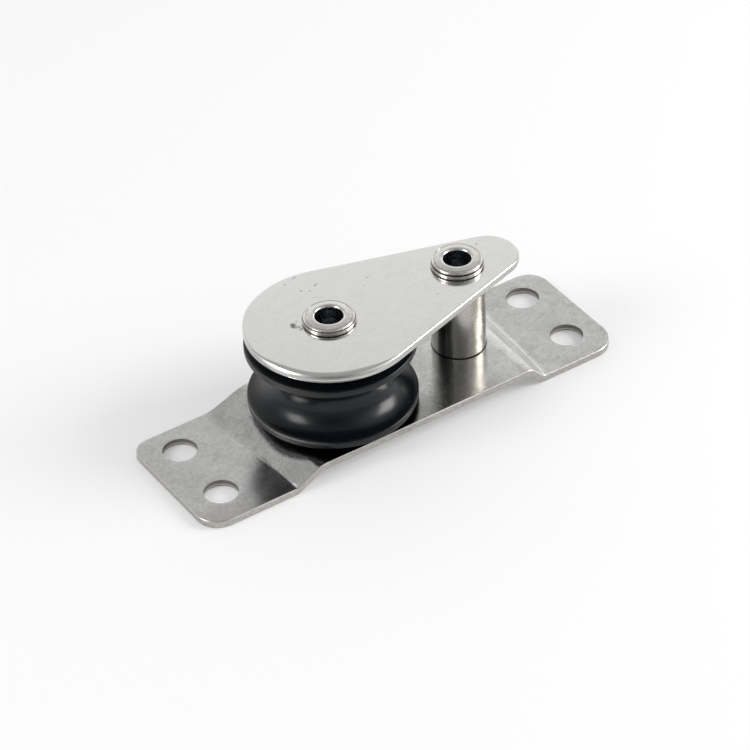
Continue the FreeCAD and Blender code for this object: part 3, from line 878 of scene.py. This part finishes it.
# %% Base strip
CORNERS = [("right_back", 4.4, 0), ("left_back", 3.4, 90), ("left_front", 4.6, 180),
           ("right_front", 5.3, 270)]  # name, radius and where its arc starts
HOLE_X, HOLE_Y, HOLE_RADIUS = (-39.0, 38.8), 7.2, 3.2
STEADY = (-35.6, -13.2, 22.1, 35.4)  # places along the strip that no fold moves
SKEW_START, SKEW_REACH = 36.0, 8
outline = []
for name, radius, start in CORNERS:
    x = base_high.x - radius if "right" in name else base_low.x + radius
    y = base_high.y - radius if "back" in name else base_low.y + radius
    outline += arc(x, y, radius, start, start + 90, 16)
loops = [(outline, 0.2, 0.2)]
loops += [(hole(x, y, HOLE_RADIUS), 0.05, 0.35, "bore") for x in HOLE_X for y in (-HOLE_Y, HOLE_Y)]
loops += [(hole(x, 0, RIVET_HOLE), 0.1, 0.1, "bore") for x in (axle.x, tail.x)]
blank = cut_plate(loops, SHEET)


def landmarks(share):
    """Where the folds start and end, between parts of the strip that stay where they are."""
    ends = [edge for one in fold_arcs(share) for edge in one[:2]]
    return [base_low.x, STEADY[0], *ends[:4], *STEADY[1:3], *ends[4:], STEADY[3], base_high.x]


def carried(x, share):
    """Where a point of the front edge's pattern goes at this share of the way back."""
    here, there = landmarks(0), landmarks(share)
    n = max(0, min(len(here) - 2, sum(x > mark for mark in here) - 1))
    return there[n] + (there[n + 1] - there[n]) * (x - here[n]) / (here[n + 1] - here[n])


def off_square(x, share):
    """The two ends were not sheared quite square."""
    left = min(1.0, max(0.0, (-SKEW_START - x) / SKEW_REACH))
    right = min(1.0, max(0.0, (x - SKEW_START) / SKEW_REACH))
    return left * (0.1 - 0.38 * share) + right * (0.2 * share - 0.05)


def cut_square(point, direction):
    bmesh.ops.bisect_plane(blank, geom=blank.verts[:] + blank.edges[:] + blank.faces[:], dist=1e-6,
                           plane_co=point, plane_no=direction)


BEND_STEPS, CROSS_CUTS = 14, 24
for start, end, *_ in fold_arcs(0):
    for step in range(BEND_STEPS + 1):
        cut_square((start + (end - start) * step / BEND_STEPS, 0, 0), (1, 0, 0))
for step in range(1, CROSS_CUTS):
    cut_square((0, base_low.y + (base_high.y - base_low.y) * step / CROSS_CUTS, 0), (0, 1, 0))
for vert in blank.verts:
    x, y, z = vert.co
    share = max(0.0, min(1.0, (y - base_low.y) / (base_high.y - base_low.y)))
    x = carried(x, share) + off_square(x, share)
    top, slope = profile(x, fold_arcs(share))
    depth = SHEET - z
    vert.co = (x + depth * math.sin(slope), y, top - depth * math.cos(slope))
plate_piece(blank, "base_strip", satin, "frame", "satin_stainless", "base_plate")

# %% [markdown]
# ## A lathe in nodes
# Everything else is round: the sheave, the tubes, the washers and the rolled rivets. A lathe
# turns a section about an axis. Here the section is a loop of edges whose corners carry their
# own rounding, and a node tree rounds the corners, sweeps the loop round a circle and repeats
# the result at evenly spaced places. One tree serves every turned piece.

# %% Lathe tree
SWEEP = 10 * MM  # the circle that carries the section, which is moved in by as much
WELD = 0.0001 * MM


def new_tree(name, sockets):
    tree = bpy.data.node_groups.new(name, "GeometryNodeTree")
    tree.interface.new_socket("Geometry", in_out="OUTPUT", socket_type="NodeSocketGeometry")
    tree.interface.new_socket("Section", in_out="INPUT", socket_type="NodeSocketGeometry")
    for label, kind in sockets:
        tree.interface.new_socket(label, in_out="INPUT", socket_type="NodeSocket" + kind)
    return tree


def lathe_tree():
    tree = new_tree("lathe", [("Sides", "Int"), ("Corner Steps", "Int"), ("First Place", "Vector"),
                              ("Step", "Vector"), ("Count", "Int"), ("Finish", "Material")])
    given = tree.nodes.new("NodeGroupInput").outputs

    def add(kind, settings=None, links=None):
        node = tree.nodes.new(kind)
        for key, value in (settings or {}).items():
            setattr(node, key, value)
        for key, value in (links or {}).items():
            if isinstance(value, bpy.types.NodeSocket):
                tree.links.new(value, node.inputs[key])
            else:
                node.inputs[key].default_value = value
        return node.outputs[0]

    loop = add("GeometryNodeMeshToCurve", {}, {"Mesh": given["Section"]})
    rounding = add("GeometryNodeInputNamedAttribute", {"data_type": "FLOAT"}, {"Name": "round"})
    rounded = add("GeometryNodeFilletCurve", {"mode": "POLY"},
                  {"Curve": loop, "Count": given["Corner Steps"], "Radius": rounding})
    circle = add("GeometryNodeCurvePrimitiveCircle", {"mode": "RADIUS"},
                 {"Resolution": given["Sides"], "Radius": SWEEP})
    circle = add("GeometryNodeSetCurveNormal", {"mode": "Z_UP"}, {"Curve": circle})
    turned = add("GeometryNodeCurveToMesh", {}, {"Curve": circle, "Profile Curve": rounded})
    welded = add("GeometryNodeMergeByDistance", {}, {"Geometry": turned, "Distance": WELD})
    places = add("GeometryNodeMeshLine", {"mode": "OFFSET"},
                 {"Count": given["Count"], "Start Location": given["First Place"], "Offset": given["Step"]})
    copies = add("GeometryNodeInstanceOnPoints", {}, {"Points": places, "Instance": welded})
    real = add("GeometryNodeRealizeInstances", {}, {"Geometry": copies})
    finished = add("GeometryNodeSetMaterial", {}, {"Geometry": real, "Material": given["Finish"]})
    tree.links.new(finished, tree.nodes.new("NodeGroupOutput").inputs[0])
    return tree


LATHE = lathe_tree()


def turn(section, first, step=(0, 0, 0), count=1, finish=None, sides=128, corner_steps=6):
    """Turn a closed section of (radius, height, rounding) in millimetres into a mesh."""
    mesh = bpy.data.meshes.new("section")
    points = [(r * MM - SWEEP, -z * MM, 0) for r, z, _ in section]
    mesh.from_pydata(points, [(n, (n + 1) % len(points)) for n in range(len(points))], [])
    rounding = mesh.attributes.new("round", "FLOAT", "POINT")
    rounding.data.foreach_set("value", [r * MM for _, _, r in section])
    source = new_object("section", mesh)
    lathe = source.modifiers.new("lathe", "NODES")
    lathe.node_group = LATHE
    values = {"Sides": sides, "Corner Steps": corner_steps, "First Place": [v * MM for v in first],
              "Step": [v * MM for v in step], "Count": count, "Finish": finish}
    for socket in LATHE.interface.items_tree:
        if socket.name in values:
            lathe[socket.identifier] = values[socket.name]
    mesh = evaluated_mesh(source, "turned")
    tidy = bmesh.new()
    tidy.from_mesh(mesh)
    bmesh.ops.recalc_face_normals(tidy, faces=tidy.faces)
    tidy.to_mesh(mesh)
    tidy.free()
    mesh.shade_smooth()
    source = new_object("turned", mesh)
    steady_normals(source)
    return evaluated_mesh(source, "turned")


def ring_section(inner, outer, height, rounding, inner_rounding=0.1):
    return [(inner, 0, inner_rounding), (outer, 0, rounding), (outer, height, rounding),
            (inner, height, inner_rounding)]


print("lathe inputs:", [s.name for s in LATHE.interface.items_tree if s.in_out == "INPUT"])

# %% [markdown]
# ## Tubes, washers and thrust washers
# The spacer between the plates and the sleeve that the sheave turns on are the same tube, so
# the lathe makes both at once. The washers under the rivets' heads, and those at their feet,
# also come in pairs, one for each rivet.

# %% Rings
THRUST_SHEET, THRUST_GAP = 0.8, 0.05
RIVET_STEP = (tail.x - axle.x, 0, 0)
tube_low, tube_high = (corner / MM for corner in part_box("spacer_tube"))
head_low, head_high = (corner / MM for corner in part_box("axle_head_washer"))
foot_low, foot_high = (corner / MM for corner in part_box("axle_foot_washer"))
thrust_low, thrust_high = (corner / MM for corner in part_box("lower_thrust_washer"))
thrust_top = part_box("upper_thrust_washer")[0] / MM

tube_section = ring_section(RIVET_HOLE, TUBE_RADIUS, tube_high.z - tube_low.z, 0.2)
tube_section[1] = (TUBE_RADIUS, 0, 0.4)  # the foot's outer edge is the roundest
tubes = turn(tube_section, (axle.x, 0, tube_low.z), RIVET_STEP, 2, tube_finish)
place_piece("sleeve_and_spacer", tubes, tube_finish, "frame", "polished_stainless",
            "axle_sleeve", "spacer_tube")
for end, low, high, rounding in (("head", head_low, head_high, 0.3), ("foot", foot_low, foot_high, 0.25)):
    pair = turn(ring_section(RIVET_HOLE, WASHER_RADIUS, high.z - low.z, rounding),
                (axle.x, 0, low.z), RIVET_STEP, 2, rivet_finish)
    place_piece(end + "_washers", pair, rivet_finish, "frame", "polished_stainless",
                f"axle_{end}_washer", f"tail_{end}_washer")
thrust_section = ring_section(TUBE_RADIUS + THRUST_GAP, (thrust_high.y - thrust_low.y) / 2, THRUST_SHEET, 0.2)
thrust = turn(thrust_section, (axle.x, 0, thrust_low.z), (0, 0, thrust_top.z - thrust_low.z), 2,
              bearing_finish)
place_piece("thrust_washers", thrust, bearing_finish, "frame", "pale_plastic",
            "lower_thrust_washer", "upper_thrust_washer")

# %% [markdown]
# ## Rolled rivets
# Each rivet is a tube whose ends were rolled over. The roll leaves a broad soft shoulder
# outside and a small bright lip round the bore, so the section's corners have different
# roundings. A fine groove runs round the shoulder. The tail rivet stands a little prouder than
# the one on the axle, and its head is rounder underneath.

# %% Rivets
RIVET_BORE, SHANK, LIP, CREST = 2.6, 3.3, 0.46, 3.3
for name, under_round in (("axle_rivet", 0.16), ("tail_rivet", 0.4)):
    low, high = (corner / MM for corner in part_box(name))
    rim, tall = (high.y - low.y) / 2, high.z - low.z
    foot, under = foot_low.z - low.z, head_high.z - low.z
    shoulder = [(rim, tall - 0.36, 0.26), (rim - 0.38, tall - 0.1, 0.06), (rim - 0.45, tall - 0.16, 0.03),
                (rim - 0.54, tall - 0.11, 0.06), (CREST, tall, 0.2)]
    section = [(RIVET_BORE, 0, LIP), (rim, 0, 0.3), (rim, foot, 0.1), (SHANK, foot, 0), (SHANK, under, 0),
               (rim, under, under_round), *shoulder, (RIVET_BORE, tall, LIP)]
    rivet = turn(section, (low.x + rim, 0, low.z), finish=rivet_finish)
    place_piece("rolled_" + name, rivet, rivet_finish, "frame", "polished_stainless", name)

# %% [markdown]
# ## The sheave
# The rope lies in a round groove between two thin rims. The groove is one arc, and the hub
# stands a little proud so that only it rubs on the thrust washers. It is turned by the same
# lathe, with more sides, because its black rim is the longest curve in view.

# %% Sheave
HUB_RADIUS, HUB_PROUD, RIM_WIDTH, GROOVE_DEPTH, RUNNING_GAP = 8.0, 0.3, 1.4, 5.0, 0.06
BORE_RADIUS = TUBE_RADIUS + RUNNING_GAP
sheave_tall = sheave_high.z - sheave_low.z
middle = sheave_tall / 2
half_mouth = middle - HUB_PROUD - RIM_WIDTH
groove_radius = (half_mouth ** 2 + GROOVE_DEPTH ** 2) / (2 * GROOVE_DEPTH)
groove_centre = SHEAVE_RADIUS - GROOVE_DEPTH + groove_radius
open_angle = math.atan2(half_mouth, groove_centre - SHEAVE_RADIUS)
section = [(BORE_RADIUS, 0, 0.15), (HUB_RADIUS, 0, 0.1), (HUB_RADIUS, HUB_PROUD, 0),
           (SHEAVE_RADIUS, HUB_PROUD, 0.3)]
STEPS = 48
for n in range(STEPS + 1):
    angle = -open_angle + 2 * open_angle * n / STEPS
    rounding = 0.3 if n in (0, STEPS) else 0
    section.append((groove_centre - groove_radius * math.cos(angle),
                    middle + groove_radius * math.sin(angle), rounding))
section += [(SHEAVE_RADIUS, sheave_tall - HUB_PROUD, 0.3), (HUB_RADIUS, sheave_tall - HUB_PROUD, 0),
            (HUB_RADIUS, sheave_tall, 0.1), (BORE_RADIUS, sheave_tall, 0.15)]
wheel = turn(section, (axle.x, 0, sheave_low.z), finish=sheave_finish, sides=192)
place_piece("rope_sheave", wheel, sheave_finish, "sheave_wheel", "black_plastic", "sheave")
